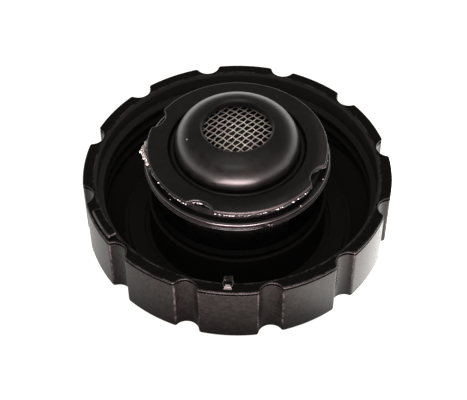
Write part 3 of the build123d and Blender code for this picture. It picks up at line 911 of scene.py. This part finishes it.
# %% Steel cloth
wire_radius = 0.12 * mm
weave_height = 0.125 * mm
cloth_reach = 12.6 * mm
cloth_z = (cloth_low.z + cloth_high.z) / 2
cloth_crown, crown_reach = 0.75 * mm, 9.5 * mm
first_way = {"angle": 137.42, "pitch": 1.356 * mm, "offset": 0.329 * mm, "side": 1}
second_way = {"angle": 50.13, "pitch": 1.781 * mm, "offset": 0.346 * mm, "side": -1}


def wires(way, other):
    """Centre lines of all wires of one direction, woven over and under the other direction."""
    across = Vector((math.cos(math.radians(way["angle"])), math.sin(math.radians(way["angle"]))))
    along = Vector((-across.y, across.x))
    crossing = Vector((math.cos(math.radians(other["angle"])), math.sin(math.radians(other["angle"]))))
    lines = []
    count = int(cloth_reach / way["pitch"]) + 1
    for number in range(-count, count + 1):
        middle = across * (way["offset"] + number * way["pitch"])
        if middle.length > cloth_reach:
            continue
        half = math.sqrt(cloth_reach**2 - middle.length**2)
        steps = max(8, int(2 * half / (0.2 * mm)))
        line = []
        for step in range(steps + 1):
            place = middle + along * half * (2 * step / steps - 1)
            phase = (place.dot(crossing) - other["offset"]) / other["pitch"]
            wave = way["side"] * (-1) ** number * math.cos(math.pi * phase)
            bulge = cloth_crown * max(0.0, 1 - (place.length / crown_reach) ** 2)
            line.append((place.x, place.y, cloth_z + bulge + weave_height * wave))
        lines.append(line)
    return lines


cloth_curve = bpy.data.curves.new("steel_cloth", "CURVE")
cloth_curve.dimensions = "3D"
cloth_curve.bevel_depth = wire_radius
cloth_curve.bevel_resolution = 1
cloth_curve.use_fill_caps = True
for line in wires(first_way, second_way) + wires(second_way, first_way):
    spline = cloth_curve.splines.new("POLY")
    spline.points.add(len(line) - 1)
    for point, place in zip(spline.points, line):
        point.co = (*place, 1)
cloth = bpy.data.objects.new("steel_cloth", cloth_curve)
bpy.context.scene.collection.objects.link(cloth)
alone(cloth)
bpy.ops.object.convert(target="MESH")
cloth = bpy.context.object
bpy.ops.object.shade_smooth()
finish(cloth, screen_steel, "insert", "screen_steel", "screen_mesh")

# %% [markdown]
# ## The weld seam
# Cover and carrier were welded by friction, and the melt that was squeezed out froze as a ragged bead below the
# flange's edge. A bumpy material would keep a smooth outline, and this seam is seen from the side. So a ring of
# small cross-sections follows the notched edge, and layered noise makes each one larger, smaller, higher or lower.

# %% Weld bead
bead_sides = 7
seam = [Vector(point) for point in notched(cover_shape, 0.05 * mm, flange_z)]
seam_rings = []
for point in seam + seam[:1]:
    outwards = Vector((point.x, point.y, 0)).normalized()
    lump = 0.55 + 0.6 * noise.noise(point * 600) + 1.7 * noise.noise(point * 2900)
    size = (0.05 + 0.3 * max(0.0, min(1.0, lump))) * mm
    drop = (noise.noise(point * 900 + Vector((3, 1, 2))) + noise.noise(point * 2300)) * 0.14 * mm
    ring = []
    for side in range(bead_sides):
        turn = math.tau * side / bead_sides
        rise = Vector((0, 0, math.sin(turn) * size + 0.02 * mm + drop))
        ring.append(point + outwards * math.cos(turn) * size + rise)
    seam_rings.append(ring)
bead = stacked("weld_bead", seam_rings)
smooth(bead, 20)
finish(bead, weld_plastic, "insert", "insert_plastic")

# %% [markdown]
# ## Lime crust and specks
# Coolant has dried to a white crust at the left of the seam, and a few specks lie on the dome and the seal. The
# crust is a heap of small balls fused by a voxel remesh, so it is lumpy in its outline and not only in its shader.


# %% Crust
def on_cap(radius, angle, z):
    """A place on the cap, by radius and angle."""
    turn = math.radians(angle)
    return Vector((radius * mm * math.cos(turn), radius * mm * math.sin(turn), z * mm))


random.seed(7)
ball_count, crust_start, crust_sweep = 34, 171.0, 20.0
balls = []
for number in range(ball_count):
    share = number / (ball_count - 1)
    angle = crust_start + crust_sweep * share + random.uniform(-0.8, 0.8)
    spread = math.sin(math.pi * min(1.0, 0.05 + share)) ** 2
    place = on_cap(21.4 + random.uniform(-0.1, 1.5) * (0.15 + spread), angle, 27.1 + random.uniform(-0.9, 0.5))
    bpy.ops.object.select_all(action="DESELECT")
    bpy.ops.mesh.primitive_ico_sphere_add(subdivisions=2, radius=random.uniform(0.28, 0.6) * mm, location=place)
    balls.append(bpy.context.object)
crust = joined("lime_crust", balls)
bpy.ops.object.transform_apply(location=True, rotation=True, scale=True)
fuse = crust.modifiers.new("fuse", "REMESH")
fuse.mode, fuse.voxel_size = "VOXEL", 0.11 * mm
bpy.ops.object.modifier_apply(modifier=fuse.name)
for vertex in crust.data.vertices:
    push = noise.noise(vertex.co * 1500) * 0.22 * mm + noise.noise(vertex.co * 4200) * 0.09 * mm
    vertex.co += vertex.normal * push
alone(crust)
bpy.ops.object.shade_smooth()
finish(crust, lime_crust, "insert", "insert_plastic")

# %% Specks
speck_places = [
    (12.1, -162.6, 34.1, 0.22),
    (21.3, -136.9, 25.55, 0.16),
    (21.7, -22.3, 25.55, 0.16),
    (22.1, -48.4, 25.5, 0.15),
]
flecks = []
for radius, angle, z, size in speck_places:
    bpy.ops.object.select_all(action="DESELECT")
    bpy.ops.mesh.primitive_ico_sphere_add(subdivisions=2, radius=size * mm, location=on_cap(radius, angle, z))
    flecks.append(bpy.context.object)
specks = joined("white_specks", flecks)
bpy.ops.object.transform_apply(location=True, rotation=True, scale=True)
for vertex in specks.data.vertices:
    vertex.co += vertex.normal * noise.noise(vertex.co * 3000) * 0.12 * mm
finish(specks, lime_crust, "insert", "insert_plastic")

# %% [markdown]
# ## The pieces inside
# The carrier, the ring under the cloth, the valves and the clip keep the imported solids: their shapes are right.
# They show through the cloth, through the waist's windows and when the valves move, so each gets its finish.

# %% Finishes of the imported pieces
packed_finishes = {
    "valve_carrier": carrier_plastic,
    "screen_ring": carrier_plastic,
    "pressure_plate": valve_plastic,
    "pressure_seal": valve_plastic,
    "vacuum_poppet": valve_plastic,
    "vacuum_clip": spring_steel,
}
for node, material in packed_finishes.items():
    piece = frame["nodes"][node]
    piece.data.materials.clear()
    piece.data.materials.append(material)
print("packed pieces finished", len(packed_finishes))

# %% [markdown]
# ## The springs
# A packed coil is stiff, so a valve that opens would push its plate or its clip through the wire. Modelling the
# coil at every height would be one way. Here a copy of the coil stands for the solid, with its own mesh, the spring
# steel finish and the body that carries it. The valve's travel is read from the imported record, but the copy is not
# flattened by it.

# %% Spring copies
motion = frame["record"]["behaviour"]
carried_by = {node: body for body, nodes in motion["bodies"].items() for node in nodes}
for joint in motion["joints"]:
    for coil in joint.get("deforming_nodes", []):
        node, travel = coil["node"], joint["range_m"][1]
        spring = bpy.data.objects.new(f"{node}_coil", frame["nodes"][node].data.copy())
        bpy.context.scene.collection.objects.link(spring)
        close_mesh(spring)
        smooth(spring)
        finish(spring, spring_steel, carried_by[node], "spring_steel", node)
        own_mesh(spring)
